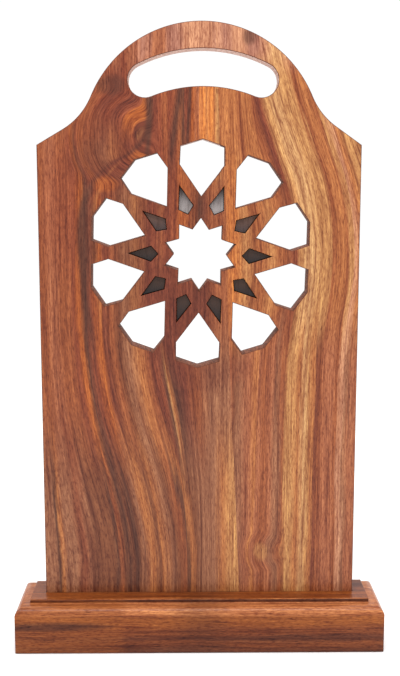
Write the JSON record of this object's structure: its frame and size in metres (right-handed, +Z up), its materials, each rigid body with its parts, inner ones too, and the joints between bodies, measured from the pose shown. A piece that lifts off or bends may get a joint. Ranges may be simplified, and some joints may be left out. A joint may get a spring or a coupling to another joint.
{
  "type": "quran stand",
  "caption": "Upright arched wooden panel with a hand slot, a pierced rosette and dark kite inlays, housed in a moulded plinth.",
  "frame": {"origin": "on the ground, at the middle of the plinth's underside", "axes": "+Z up, +X to the right of someone facing the front, +Y from the front to the back"},
  "size_m": [0.2706, 0.0578, 0.4529],
  "materials": {
    "plinth_wood": "satin lacquered sheesham, grain along the width",
    "board_left_wood": "satin lacquered sheesham, grain upright, reddish brown",
    "board_right_wood": "satin lacquered sheesham, grain upright, golden and brown",
    "dark_horn": "polished dark horn",
    "dowel_wood": "plain turned beech",
    "screw_steel": "zinc plated"
  },
  "bodies": {
    "root": {"plinth": "plinth_wood", "panel_board_left": "board_left_wood", "panel_board_right": "board_right_wood", "kite_inlay_01": "dark_horn", "kite_inlay_02": "dark_horn", "kite_inlay_03": "dark_horn", "kite_inlay_04": "dark_horn", "kite_inlay_05": "dark_horn", "kite_inlay_06": "dark_horn", "kite_inlay_07": "dark_horn", "kite_inlay_08": "dark_horn", "kite_inlay_09": "dark_horn", "kite_inlay_10": "dark_horn", "seam_dowel_1": "dowel_wood", "seam_dowel_2": "dowel_wood", "seam_dowel_3": "dowel_wood", "seam_dowel_4": "dowel_wood", "seam_dowel_5": "dowel_wood", "plinth_screw_1": "screw_steel", "plinth_screw_2": "screw_steel", "plinth_screw_3": "screw_steel"}
  },
  "joints": []
}
